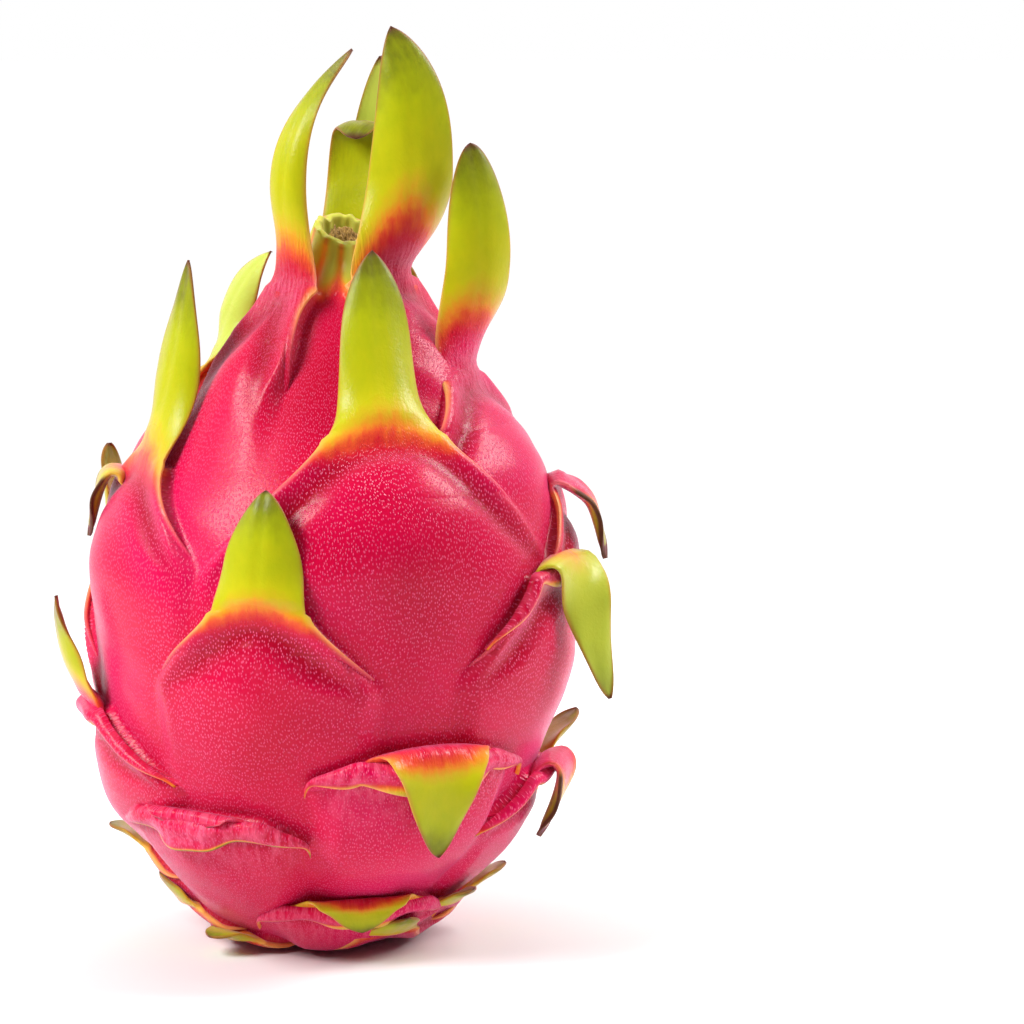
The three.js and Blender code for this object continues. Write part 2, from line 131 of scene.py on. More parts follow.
# The scales by their number up the fruit: where the blade's root is, half its width there, its free
# length, and its direction along that length as (share, degrees off the vertical). waist, fullness and
# blunt shape its outline, and twist turns it about its midline. Its shield widens by flare to spread
# degrees either side, and neck narrows it. hem is how far its margin is rolled over, and lip how far
# that stands out over the blade. onset is the share where pink gives way to yellow, sooner by flame at
# its margins, and turns the millimetres from there to yellow-green. pale thins its green, brown is how
# dry its tip and margins are, and fold how wrinkled its root is.
SHAPED = {
    2: dict(azimuth=-47, height=5, half=6, length=7, path=[(0.5, 82), (1, 96)]),
    5: dict(azimuth=13, height=13, half=14, length=5, path=[(0.1, 130), (0.3, 165), (1, 178)],
            waist=0.42, fullness=2, onset=0.1, turns=3, flame=0.2, fold=0.8, spread=40, hem=3.6, lip=2.2),
    7: dict(azimuth=-75, height=9.5, half=7, length=8, path=[(0.5, 44), (1, 30)]),
    8: dict(azimuth=58, height=10.5, half=6.5, length=6, path=[(0.5, 66), (1, 60)]),
    10: dict(azimuth=-37, height=30.5, half=14, length=3.4, path=[(0.1, 150), (0.4, 168), (1, 176)],
             waist=0.4, fullness=2, onset=0.9, turns=2, flame=0.4, brown=0.8, fold=1,
             spread=32, hem=4.8, lip=2.6),
    12: dict(azimuth=-94, height=19, half=7, length=8, path=[(0.4, 64), (1, 78)]),
    13: dict(azimuth=24.5, height=42, half=13.5, length=19,
             path=[(0.05, 108), (0.15, 160), (0.4, 175), (1, 184)],
             waist=0.6, fullness=1.6, onset=0.1, turns=6, flame=0.08, fold=1,
             spread=29.5, flare=2.2, hem=5.2, lip=3.9),
    15: dict(azimuth=-77, height=47, half=7.8, length=21.5, path=[(0.2, 30), (0.6, 14), (1, 8)],
             onset=0.15),
    16: dict(azimuth=77, height=34.5, half=9.8, length=18,
             path=[(0.06, 56), (0.15, 140), (0.32, 188), (1, 206)],
             waist=0.6, onset=0.3, brown=1, spread=34, hem=2.6),
    18: dict(azimuth=-17, height=68.5, half=8.7, length=21.5, path=[(0.4, -6), (1, -18)],
             waist=0.94, fullness=2.2, onset=-0.04, flame=0.2, spread=30),
    19: dict(length=20, path=[(0.4, -10), (1, -24)]),
    20: dict(azimuth=-116, height=71, half=8, length=20, path=[(0.4, 14), (1, 4)]),
    21: dict(azimuth=66, height=72, half=10.5, length=28.5,
             path=[(0.04, 70), (0.1, 140), (0.2, 160), (1, 161)],
             twist=-38, waist=0.52, fullness=1.9, onset=-0.06, pale=0.5, fold=0.5, spread=36, hem=3),
    23: dict(azimuth=-71, height=91, half=8.8, length=36.5, path=[(0.25, -14), (0.6, -8), (1, -3)],
             twist=-20, fullness=2.2, onset=-0.04, flame=0.15),
    24: dict(azimuth=84, height=84.5, half=6.2, length=19.5,
             path=[(0.05, 80), (0.15, 118), (0.35, 132), (0.5, 158), (1, 167)], onset=0.4, brown=1),
    25: dict(length=18, path=[(0.4, -22), (1, -32)]),
    26: dict(azimuth=15, height=97, half=10.4, length=34.5, path=[(0.3, -24), (1, -19)],
             waist=0.72, fullness=3.3, onset=-0.04, flame=0.2, spread=52),
    27: dict(azimuth=153, length=23),
    28: dict(azimuth=-88, height=86, half=6.5, length=15,
             path=[(0.08, 60), (0.2, 140), (0.4, 164), (1, 172)], brown=1),
    29: dict(azimuth=67, height=105, half=9.5, length=43,
             path=[(0.1, 0), (0.25, 12), (0.6, -5), (1, -14)],
             twist=46, waist=0.72, fullness=3.6, blunt=0.55, onset=0.24, flame=0.12,
             neck=0.05, fold=0.8, spread=50),
    30: dict(azimuth=-161, height=101, half=7.6, length=25, path=[(0.3, -18), (1, -12)]),
    31: dict(azimuth=-52, height=122, half=7.3, length=47.5,
             path=[(0.1, -2), (0.25, 12), (0.42, -4), (0.62, -26), (0.8, -42), (1, -48)],
             twist=-10, waist=0.57, onset=0.1, flame=0.06, neck=0.3, fold=1, spread=30),
    32: dict(azimuth=156, height=114, half=9.5, length=50, path=[(0.25, -6), (0.6, 2), (1, -12)],
             onset=0.1, pale=0.8),
    # 33 is thinned to pale green in full: partly its own pale green, partly painted light on a face in
    #                                      shade.
    33: dict(azimuth=-108, height=106, half=7, length=24, path=[(0.25, -14), (0.6, -28), (1, -46)],
             twist=-50, pale=1, onset=-0.1),
    34: dict(azimuth=52, height=123, half=10.2, length=47,
             path=[(0.08, 14), (0.28, 4), (0.55, -3), (0.8, -19), (1, -30)],
             twist=48, waist=0.84, fullness=3.2, onset=0.2, turns=18, flame=0.3,
             neck=0.2, fold=1, spread=50),
    # 35's onset before its root makes its whole folded cap a darker green: partly its own, partly painted
    # shade.
    35: dict(azimuth=170, height=126, half=7.4, length=31,
             path=[(0.25, 12), (0.6, 8), (0.76, -16), (0.86, -95), (1, -168)],
             fullness=6, blunt=0.5, onset=-0.4, brown=0.3),
}
SCALE_COUNT = 36
GOLDEN_ANGLE = 137.508
FIRST_AZIMUTH = 34
WIDEST_RADIUS = 43
CROWN_FLARE = 26
NECK_SCALES_FROM = 118


class Draws:
    """Park and Miller's generator: seed = 48271 seed mod (2^31 - 1), so that every run draws the same."""

    def __init__(self, seed):
        self.seed = seed

    def __call__(self, low, high):
        self.seed = self.seed * 48271 % 2147483647
        return mix(low, high, self.seed / 2147483647)


def scales_up_the_fruit():
    """All the scales, from the stem up. Each follows the last by the golden angle, at a height that grows
    as tanh of its number. They are short and turned out near the stem, and longer and erect higher up,
    unless SHAPED gives one its own form."""
    draw = Draws(4242)
    scales = []
    for index in range(SCALE_COUNT):
        height = 66 * (1 + np.tanh((index - 19) / 13))
        azimuth = FIRST_AZIMUTH + GOLDEN_ANGLE * index + draw(-4, 4)
        droops = draw(0, 1) < 0.35 and 25 < height < 80
        half = mix(6, 8.4, smooth(height / 50)) * draw(0.94, 1.06)
        length = mix(7, 36, smooth(height / 90)) * draw(0.92, 1.08)
        out = mix(66, -6, smooth(height / 95)) + draw(-6, 6)
        path = [(0.18, 80), (0.42, 160), (1, 186)] if droops else [(0.35, out), (1, out - 8)]
        scale = dict(index=index, azimuth=azimuth, height=height, half=half, length=length, path=path)
        scale.update(twist=0, waist=0.78, fullness=2.8, blunt=0.75, neck=0)
        scale.update(onset=0, turns=14, flame=0.15, brown=0.25, fold=0.25, pale=0)
        scale.update(spread=38, flare=mix(2, 0.85, smooth((height - 30) / 35)))
        scale.update(hem=3 if droops else 0, lip=1.3)
        scale.update(SHAPED.get(index, {}))
        scale["azimuth"] *= DEG
        scale["s"] = np.interp(scale["height"], outline_z, outline_s)
        scale["root"] = outline_at(scale["s"])
        scale["at_root"] = scale["half"] / scale["root"][1]
        least = 0.7 if scale["height"] > NECK_SCALES_FROM else 1.1
        scale["widest"] = max(scale["spread"] * DEG, least * scale["at_root"])
        widening = (scale["widest"] - scale["at_root"]) * WIDEST_RADIUS / scale["flare"]
        scale["flare_length"] = max(widening, CROWN_FLARE * smooth((scale["height"] - 85) / 25))
        scales.append(scale)
    return scales


scales = scales_up_the_fruit()

SHIELD_STEP = 3.0
SHIELD_LENGTH = 44
SHIELD_BULGE = 2.0
LIP_HEIGHT = 0.4
GROOVE_DEPTH = 1.1
GROOVE_INSIDE = 4.8
UNEVENNESS = 0.5
# How far a shield has widened from its root, 0, to its widest, 1, at shares of the flare's length.
FLARE = [(0, 0), (0.12, 0.07), (0.3, 0.26), (0.6, 0.62), (0.85, 0.92), (1, 1)]


def shield_half_angle(scale, below):
    """Half the angle a shield spans at a distance below its root: along FLARE from the blade's own width
    to its spread, and narrower by up to neck about 6 mm down, as t e^(1-t)."""
    t = np.clip(below / 6, 0, None)
    widened = curve_through(FLARE, below / scale["flare_length"])
    narrowed = 1 - scale["neck"] * t * np.exp(1 - t)
    return mix(scale["at_root"], scale["widest"], widened) * narrowed


def margin_strength(scale, below):
    """How clearly a shield's margin stands out: fully over the first half of its flare, then fading."""
    return smooth((1.25 - below / scale["flare_length"]) / 0.75)


def hem_reach(scale):
    """How far down each side of its shield a scale's rolled hem runs, in millimetres along the fruit."""
    return min(1.2 * scale["flare_length"] + 2, 12) * (scale["hem"] > 0)


def plain_margin(scale, below):
    """How clearly a margin's thin coloured line stands out: with the margin's strength, but not where a
    hem is rolled over it."""
    hemmed = smooth((hem_reach(scale) + 1 - below) / 4) * (scale["hem"] > 0)
    return margin_strength(scale, below) * (1 - hemmed)


def ripples(azimuth, s, seed):
    """A gentle unevenness about 10 to 30 mm long: the mean of twelve crossed sine waves round and up the
    fruit."""
    draw = Draws(seed)
    total = 0
    for _ in range(12):
        around = round(draw(3, 17))
        up = draw(0.08, 0.5)
        total = total + np.sin(around * azimuth + up * s + draw(0, 6.28)) * np.sin(up * s + draw(0, 6.28))
    return total / 12


def shield_face(scale, azimuth, s):
    """One shield by itself at arrays of azimuth and length. Its height over the bare fruit is a smooth
    rise from its foot to its root, a bell-shaped bulge in its middle, a raised lip along its margins, a
    groove inside the lip, and some unevenness. The edge that lip and groove follow is a soft minimum of
    the distances to the margins and to the root. Gives the distance below the root, the share across
    from -1 to 1, the distance inside the margins, the cover from 0 outside to 1 inside, the height, and
    how deep in the groove a point is."""
    r = outline_at(s)[1]
    below = scale["s"] - s
    turn = np.angle(np.exp(1j * (azimuth - scale["azimuth"])))
    half_angle = shield_half_angle(scale, below)
    slope = r * (shield_half_angle(scale, below + 0.1) - half_angle) / 0.1
    inside = (half_angle - np.abs(turn)) * r / np.sqrt(1 + slope ** 2)
    to_root = np.clip(below, -10, 60) + 2
    from_edge = -2 * np.log(np.exp(-np.clip(inside, -20, 40) / 2) + np.exp(-to_root / 2))
    clear = margin_strength(scale, below)
    rise = SHIELD_STEP * smooth(1 - below / SHIELD_LENGTH)
    bulge = SHIELD_BULGE * bell(turn * r / 13) * bell((below - 19) / 10)
    lip = LIP_HEIGHT * bell((from_edge - 1) / 1.1) * clear
    groove = bell((from_edge - GROOVE_INSIDE) / 2.4) * clear
    height = rise + bulge + lip - GROOVE_DEPTH * groove + UNEVENNESS * ripples(azimuth, s, 77)
    cover = smooth(inside / mix(6, 1.1, clear)) * smooth(below / 1.5) * (below < SHIELD_LENGTH * 1.3)
    return below, np.clip(turn / half_angle, -1, 1), inside, cover, height, groove


def tone_at(scale, below, u, inside):
    """Ripeness of colour from 0, the peel's pink, to 1, the green of a tip. It rises along the blade from
    its onset, sooner by flame times u squared towards the margins: quickly to yellow-green, slowly on
    from there, and quickly again near the tip. A line of it runs down the shield's margins and thins
    out."""
    near = smooth(1 - below / 14)
    share = -below / scale["length"]
    past = share - scale["onset"] + scale["flame"] * u ** 2 * near
    first = 0.14 * smooth((past + 0.14) / 0.14)
    quick = 0.42 * smooth((past + 0.02) / min(0.42, scale["turns"] / scale["length"])) ** 0.8
    slow = 0.2 * np.clip(past / 0.8, 0, 1)
    tip = 0.24 * smooth((share - 0.55) / 0.45)
    line = bell(inside / mix(0.6, 2.2, np.exp(-np.clip(below, 0, 60) / 3)))
    line = 0.26 * line * smooth(1 - below / 18) * plain_margin(scale, below)
    return np.maximum(first + quick + (slow + tip), np.where(below > 0, line, 0))


def peel_surface(azimuth, s):
    """The peel's height over the bare outline and its looks on a grid of azimuth and length. Shields are
    laid from the neck down, each covering those above it inside its margins, so the lower scale is always
    the outer one. The relief fades out at the flat spot and at the rim."""
    z = outline_at(s)[0]
    height = np.zeros(np.broadcast(azimuth, s).shape)
    looks = {name: np.zeros_like(height) for name in ("tone", "margin", "brown", "fold", "deep", "pale")}
    for scale in reversed(scales):
        below, u, inside, cover, own, groove = shield_face(scale, azimuth, s)
        height = mix(height, own, cover)
        clear = plain_margin(scale, below) * smooth(1 - below / 22)
        seam = 0.45 * bell(inside / 1.3) * smooth(below / 12) * smooth((SHIELD_LENGTH - below) / 20)
        line = np.maximum(bell(inside / 0.6) * clear, seam)
        looks["tone"] = mix(looks["tone"], tone_at(scale, below, u, inside), cover)
        looks["margin"] = mix(looks["margin"], line, cover)
        looks["fold"] = mix(looks["fold"], scale["fold"] * smooth(1 - below / 16), cover)
        # deep carries how far a point lies in its shield's groove, which the skin darkens as painted shade.
        looks["deep"] = mix(looks["deep"], groove, cover)
    looks["along"] = s + np.zeros_like(height)
    return height * smooth(z / FLAT_FADE) * smooth((RIM_HEIGHT - z) / NECK_FADE), looks


def closed_faces(rows, columns):
    """Faces of a grid of points that wraps round its columns: quads between the rows, and at each end a
    fan of triangles to one of the two points that follow the grid."""
    first = np.arange(rows - 1)[:, None] * columns
    here = np.arange(columns)
    beside = (here + 1) % columns
    above = first + columns
    quads = np.stack([first + here, first + beside, above + beside, above + here], -1)
    top = (rows - 1) * columns
    low_fan = np.stack([np.full(columns, rows * columns), beside, here], -1)
    high_fan = np.stack([np.full(columns, rows * columns + 1), top + here, top + beside], -1)
    return quads.reshape(-1, 4), low_fan, high_fan


def closed_piece(name, grids):
    """One smooth mesh from closed grids in millimetres, each given as its points, its looks and the two
    points that close its ends. A look is a value for each point, kept as an attribute."""
    vertices, faces, values = [], [], {}
    count = 0
    for points, looks, ends in grids:
        rows, columns = points.shape[:2]
        vertices += [points.reshape(-1, 3), ends]
        for part in closed_faces(rows, columns):
            faces += (part + count).tolist()
        for look, grid in looks.items():
            at_points = np.concatenate([grid.reshape(-1), grid[0, :1], grid[-1, :1]])
            values.setdefault(look, []).append(at_points)
        count += rows * columns + 2
    mesh = bpy.data.meshes.new(name)
    mesh.from_pydata((np.concatenate(vertices) * MM).tolist(), [], faces)
    mesh.polygons.foreach_set("use_smooth", np.ones(len(mesh.polygons), bool))
    for look, parts in values.items():
        flat = np.concatenate(parts).astype(np.float32)
        mesh.attributes.new(look, "FLOAT", "POINT").data.foreach_set("value", flat)
    mesh.update()
    piece = bpy.data.objects.new(name, mesh)
    bpy.context.scene.collection.objects.link(piece)
    return piece


PEEL_COLUMNS = 372
PEEL_ROWS = 226
NECK_START = 121
FRONT_SHEAR = 0.42
SIDE_SHEAR = -0.15


def peel_rows():
    """The profile's three stretches as arrays of radius and height: the dimple and flat spot, the outline
    by its length, and over the papery rim down into the cup."""
    dimple_r = np.concatenate([np.linspace(1.2, DIMPLE_RADIUS, 12), [9.4, 10.6]])
    sag = DIMPLE_DEPTH - 0.4 * smooth(dimple_r / 6.4)
    dimple_z = sag * (1 - smooth((dimple_r - 6.4) / (DIMPLE_RADIUS - 6.4)))
    bow = np.linspace(0, np.pi, 7)[1:]
    rim_r = CUP_RADIUS + RIM_WALL / 2 + RIM_WALL / 2 * np.cos(bow)
    rim_z = RIM_HEIGHT + 0.35 * np.sin(bow)
    depth = np.linspace(0.12, 1, 9)
    wall_r = CUP_RADIUS - 1.2 * depth ** 3
    wall_z = RIM_HEIGHT - CUP_DEPTH * depth
    floor_r = np.linspace(CUP_FLOOR_RADIUS, 0.8, 4)
    cup_r = np.concatenate([rim_r, wall_r, floor_r])
    cup_z = np.concatenate([rim_z, wall_z, np.full(4, RIM_HEIGHT - CUP_DEPTH)])
    return (dimple_r, dimple_z), np.linspace(0, OUTLINE_LENGTH, PEEL_ROWS), (cup_r, cup_z)


def tip_neck(points, amount):
    """Shears the neck's top so that its rim drops towards the front and a little to the right: the height
    changes by FRONT_SHEAR of the distance behind the centre line and SIDE_SHEAR of the distance right of
    it, times amount."""
    middle = BASE + LEAN
    drop = FRONT_SHEAR * (points[..., 1] - middle[1]) + SIDE_SHEAR * (points[..., 0] - middle[0])
    tipped = points.copy()
    tipped[..., 2] += drop * amount
    return tipped


def flute_wave(azimuth):
    """Eleven uneven flutes round the neck: the sine of 11 azimuth + 0.8 sin(3 azimuth)."""
    return np.sin(11 * azimuth + 0.8 * np.sin(3 * azimuth))


def make_peel():
    """The whole peel: rows of the profile turned round the leaning centre line, moved out along the
    outline's normal by the shields' relief and the neck's flutes. The dimple is puckered, the cup's rim
    is ragged, and the neck's top is tipped."""
    (dimple_r, dimple_z), s, (cup_r, cup_z) = ([a[:, None] for a in part] if isinstance(part, tuple)
                                               else part for part in peel_rows())
    azimuth = (np.arange(PEEL_COLUMNS) * 2 * np.pi / PEEL_COLUMNS)[None, :]
    all_round = np.ones_like(azimuth)
    z, r, tilt = (a[:, None] for a in outline_at(s))
    height, looks = peel_surface(azimuth, s[:, None])
    height = height + 0.3 * flute_wave(azimuth) * smooth((z - 112) / 14) * smooth((135 - z) / 8)
    middle = place(azimuth, r + height * np.cos(tilt), z - height * np.sin(tilt))
    middle = tip_neck(middle, smooth((z - NECK_START) / (RIM_HEIGHT - NECK_START)))
    pucker = 0.025 * np.sin(14 * azimuth + 1.3 * np.sin(2 * azimuth))
    low = place(azimuth, dimple_r, dimple_z * (1 + pucker))
    ragged = 1.1 * ripples(azimuth, azimuth * 0 + 5, 31) + 0.08 * flute_wave(azimuth)
    torn = smooth((cup_z - RIM_HEIGHT + 2) / 2)
    high = place(azimuth, cup_r + ragged * smooth((cup_r - 3) / 2), cup_z + ragged * torn)
    points = np.concatenate([low, middle, tip_neck(high, 1)])

    streaks = 0.5 + 0.5 * flute_wave(azimuth)
    looks["tone"] = np.maximum(looks["tone"], smooth((z - 117) / 12) * mix(0.3, 0.6, streaks))
    looks["pale"] = np.maximum(looks["pale"], smooth((z - NECK_START) / 8) * all_round)
    looks["brown"] = mix(0.5, 0.3, streaks) * smooth((z - RIM_HEIGHT + 3) / 3)
    by_stem = smooth((DIMPLE_RADIUS + 1.6 - dimple_r) / 6) * all_round
    inwards = smooth((CUP_RADIUS + RIM_WALL / 2 - cup_r) / 1.5) * all_round
    in_dimple = {"tone": 0.5 * by_stem, "brown": 0.55 * by_stem}
    in_cup = {"tone": 0.5 + 0 * inwards, "brown": mix(0.35, 0.62, inwards), "pale": 1 + 0 * inwards}
    looks = {name: np.concatenate([in_dimple.get(name, 0 * by_stem), grid, in_cup.get(name, 0 * inwards)])
             for name, grid in looks.items()}

    dimple_pole = place(0, 0, np.array([DIMPLE_DEPTH]))
    cup_pole = tip_neck(place(0, 0, np.array([RIM_HEIGHT - CUP_DEPTH])), 1)
    return closed_piece("peel", [(points, looks, np.concatenate([dimple_pole, cup_pole]))])


def srgb(red, green, blue):
    """A colour given in 0 to 255 as seen on screen, turned into linear light."""
    c = np.array([red, green, blue]) / 255
    return (*np.where(c < 0.04045, c / 12.92, ((c + 0.055) / 1.055) ** 2.4), 1)


class Nodes:
    """Short ways to add nodes to a material or world: each call makes a node, links or sets its inputs,
    and returns its output."""

    def __init__(self, owner):
        owner.use_nodes = True
        self.tree = owner.node_tree

    def put(self, socket, value):
        if isinstance(value, bpy.types.NodeSocket):
            self.tree.links.new(value, socket)
        else:
            socket.default_value = value

    def add(self, kind, inputs=(), **settings):
        node = self.tree.nodes.new(kind)
        for key, value in settings.items():
            setattr(node, key, value)
        for key, value in dict(inputs).items():
            self.put(node.inputs[key], value)
        return node

    def math(self, operation, a, b=0.0):
        return self.add("ShaderNodeMath", {0: a, 1: b}, operation=operation).outputs[0]

    def attribute(self, name):
        return self.add("ShaderNodeAttribute", attribute_name=name).outputs["Fac"]

    def combine(self, x, y):
        return self.add("ShaderNodeCombineXYZ", {"X": x, "Y": y}).outputs[0]

    def noise(self, vector, scale, detail=3.0, roughness=0.5):
        inputs = {"Vector": vector, "Scale": scale, "Detail": detail, "Roughness": roughness}
        return self.add("ShaderNodeTexNoise", inputs).outputs["Fac"]

    def ramp(self, value, stops):
        node = self.add("ShaderNodeValToRGB", {"Fac": value})
        while len(node.color_ramp.elements) < len(stops):
            node.color_ramp.elements.new(0.5)
        for element, (position, colour) in zip(node.color_ramp.elements, stops):
            element.position = position
            element.color = colour if np.ndim(colour) else (colour, colour, colour, 1)
        return node.outputs["Color"]

    def blend(self, share, a, b):
        node = self.add("ShaderNodeMix", data_type="RGBA")
        for socket, value in zip((node.inputs[0], node.inputs[6], node.inputs[7]), (share, a, b)):
            self.put(socket, value)
        return node.outputs[2]

    def bump(self, height, strength, distance):
        inputs = {"Strength": strength, "Distance": distance, "Height": height}
        return self.add("ShaderNodeBump", inputs).outputs[0]


DOT_WIDTH = 0.47
DOT_LENGTH = 0.88
GIRTH_RADIUS = 43
PEEL_DEEP = srgb(184, 0, 38)
PEEL_MIDDLE = srgb(202, 0, 58)
PEEL_BRIGHT = srgb(214, 0, 84)
# The grooves' colour: darker red, partly the skin's own redder tint and partly painted shade under the
# blades' roots.
PEEL_GROOVE_SHADE = srgb(150, 0, 18)
PEEL_DOTS = srgb(244, 96, 148)
PEEL_STREAKS = srgb(238, 104, 138)
PALE_GREEN = srgb(186, 198, 78)
DRY_DARK = srgb(54, 32, 16)
DRY_LIGHT = srgb(112, 74, 38)
# The flesh's and the margin's colour by tone, from pink through orange and yellow to dark green.
FLESH_RAMP = [
    (0.0, srgb(192, 4, 42)), (0.12, srgb(204, 26, 40)), (0.21, srgb(222, 84, 38)),
    (0.29, srgb(226, 134, 34)), (0.4, srgb(206, 170, 26)), (0.54, srgb(190, 184, 8)),
    (0.74, srgb(168, 174, 4)), (0.92, srgb(132, 140, 10)), (1.0, srgb(104, 106, 14)),
]
MARGIN_RAMP = [
    (0.0, srgb(246, 132, 142)), (0.15, srgb(246, 156, 112)), (0.3, srgb(238, 180, 88)),
    (0.65, srgb(190, 140, 44)), (0.85, srgb(146, 92, 36)),
]


def peel_material():
    """Satin fruit skin: crimson with fine pale raised dots in rows round and up the fruit, turning
    through orange and yellow to green with the tone attribute, darker red in the grooves as painted shade
    that is partly the skin's own redder tint, brown where it is dry, and wrinkled where it folds."""
    material = bpy.data.materials.new("fruit_skin")
    n = Nodes(material)
    shader = n.tree.nodes["Principled BSDF"]
    where = n.add("ShaderNodeTexCoord").outputs["Object"]
    tone, margin, deep = n.attribute("tone"), n.attribute("margin"), n.attribute("deep")
    brown, fold, along = n.attribute("brown"), n.attribute("fold"), n.attribute("along")

    # Dots: cells of a lattice of turns round the fruit and length up it, swaying a little.
    axes = n.add("ShaderNodeSeparateXYZ", {"Vector": where}).outputs
    right = n.math("SUBTRACT", axes["X"], BASE[0] * MM)
    forward = n.math("SUBTRACT", BASE[1] * MM, axes["Y"])
    around = n.math("ARCTAN2", right, forward)
    sway = n.math("MULTIPLY", n.math("SUBTRACT", n.noise(where, 110, 1), 0.5), 5)
    across = n.math("ADD", n.math("MULTIPLY", around, GIRTH_RADIUS / DOT_WIDTH), sway)
    lattice = n.combine(across, n.math("DIVIDE", along, DOT_LENGTH))
    cell_inputs = {"Vector": lattice, "Scale": 1.0, "Randomness": 0.85}
    cells = n.add("ShaderNodeTexVoronoi", cell_inputs, voronoi_dimensions="2D")
    dots = n.ramp(cells.outputs["Distance"], [(0.1, 1.0), (0.29, 0.0)])
    dots = n.math("MULTIPLY", dots, n.ramp(n.noise(where, 60, 2), [(0.3, 0.55), (0.65, 1.0)]))
    dots = n.math("MULTIPLY", dots, n.ramp(tone, [(0.04, 1.0), (0.3, 0.1)]))

    # The crimson skin, the painted shade and redder tint of its grooves, dots and the pale streaks of its
    # folds.
    broad = n.noise(where, 24, 2)
    skin = n.ramp(broad, [(0.3, PEEL_DEEP), (0.5, PEEL_MIDDLE), (0.72, PEEL_BRIGHT)])
    # Painted shade, partly the skin's own redder tint: the skin turns darker red as far as a point lies in
    # a groove.
    skin = n.blend(n.math("MULTIPLY", deep, 0.85), skin, PEEL_GROOVE_SHADE)
    skin = n.blend(n.math("MULTIPLY", dots, 0.75), skin, PEEL_DOTS)
    creases = n.combine(n.math("MULTIPLY", around, 17), n.math("MULTIPLY", along, 0.16))
    folds = n.noise(creases, 1.6, 3, 0.6)
    streaks = n.math("MULTIPLY", fold, n.ramp(folds, [(0.42, 0.0), (0.68, 0.6)]))
    skin = n.blend(streaks, skin, PEEL_STREAKS)

    # The flesh of the blades, mottled along its fibres, its margins, and what is dry.
    uneven = n.math("SUBTRACT", n.math("ADD", n.noise(where, 300, 3), folds), 1.0)
    mottle = n.math("MULTIPLY", uneven, 0.16)
    toned = n.math("ADD", tone, n.math("MULTIPLY", mottle, n.ramp(tone, [(0.0, 0.0), (0.2, 1.0)])))
    colour = n.blend(n.ramp(tone, [(0.02, 0.0), (0.16, 1.0)]), skin, n.ramp(toned, FLESH_RAMP))
    thinned = n.math("MULTIPLY", n.attribute("pale"), n.ramp(tone, [(0.25, 0.0), (0.6, 1.0)]))
    colour = n.blend(thinned, colour, PALE_GREEN)
    colour = n.blend(n.math("MULTIPLY", margin, 0.75), colour, n.ramp(tone, MARGIN_RAMP))
    dry = n.blend(n.noise(where, 700, 3), DRY_DARK, DRY_LIGHT)
    colour = n.blend(n.ramp(brown, [(0.3, 0.0), (0.85, 1.0)]), colour, dry)
    n.put(shader.inputs["Base Color"], colour)

    rough = n.math("ADD", n.math("MULTIPLY", broad, 0.1), 0.2)
    rough = n.math("ADD", rough, n.math("MULTIPLY", brown, 0.4))
    rough = n.math("ADD", rough, n.math("MULTIPLY", tone, 0.06))
    n.put(shader.inputs["Roughness"], rough)

    wrinkle = n.math("MULTIPLY", folds, n.math("MULTIPLY", fold, 2.0))
    fine = n.math("MULTIPLY", n.noise(where, 1500, 2), 0.16)
    relief = n.math("ADD", n.math("ADD", n.math("MULTIPLY", dots, 0.32), wrinkle), fine)
    n.put(shader.inputs["Normal"], n.bump(relief, 0.6, 0.0005))

    shader.inputs["Subsurface Weight"].default_value = 0.08
    shader.inputs["Subsurface Radius"].default_value = (1.0, 0.25, 0.2)
    shader.inputs["Subsurface Scale"].default_value = 0.002
    shader.inputs["Specular IOR Level"].default_value = 0.16
    shader.inputs["Sheen Weight"].default_value = 0.35
    shader.inputs["Sheen Roughness"].default_value = 0.45
    shader.inputs["Sheen Tint"].default_value = (1.0, 0.35, 0.7, 1)
    return material


skin = peel_material()
peel = make_peel()
peel.data.materials.append(skin)
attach(peel, "root")
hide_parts("fruit")

# The scales
# Each scale grows out of the peel as one with its shield: a fleshy, slightly cupped leaf, thick in its
# middle and thin at its margins. Those near the stem are short and turned out, some are folded over and
# hang from a rolled hem, and the crown stands up.

SECTION = 64
FOOT_LENGTH = 28
FOOT_ROWS = 24
FOOT_LIFT = 0.16
BLADE_ROWS = 52
THIN, THICK = 1.6, 2.5
TIP_HALF = 0.4
HEM_ROWS = 110
HEM_RISE = 1.5


def blade_path(scale, share):
    """The blade's midline in its own upright plane, as distance out, height and direction: steps of equal
    length, each in the direction of the path's curve, summed from the root."""
    steps = 240
    z, r, tilt = scale["root"]
    start = shield_face(scale, scale["azimuth"], scale["s"])[4]
    middle = (np.arange(steps) + 0.5) / steps
    angle = curve_through([(0, tilt / DEG), *scale["path"]], middle) * DEG
    step = scale["length"] / steps
    out = r + start * np.cos(tilt) + np.concatenate([[0], np.cumsum(step * np.sin(angle))])
    up = z - start * np.sin(tilt) + np.concatenate([[0], np.cumsum(step * np.cos(angle))])
    shares = np.linspace(0, 1, steps + 1)
    directions = curve_through([(0, tilt / DEG), *scale["path"]], shares) * DEG
    return tuple(np.interp(share, shares, values) for values in (out, up, directions))


def blade_half_width(scale, share):
    """Half width along the free length:
    half waist (1 + (1/waist - 1) e^(-share/0.13)) (1 - share^fullness)^blunt, so it narrows quickly off
    the shield, stays broad, and ends in a point no thinner than TIP_HALF, which shrinks at the end."""
    spread = 1 + (1 / scale["waist"] - 1) * np.exp(-share / 0.13)
    taper = np.clip(1 - share ** scale["fullness"], 0, 1) ** scale["blunt"]
    point = TIP_HALF * mix(1, 0.35, smooth((share - 0.9) / 0.1))
    return np.maximum(point, scale["half"] * scale["waist"] * spread * taper)


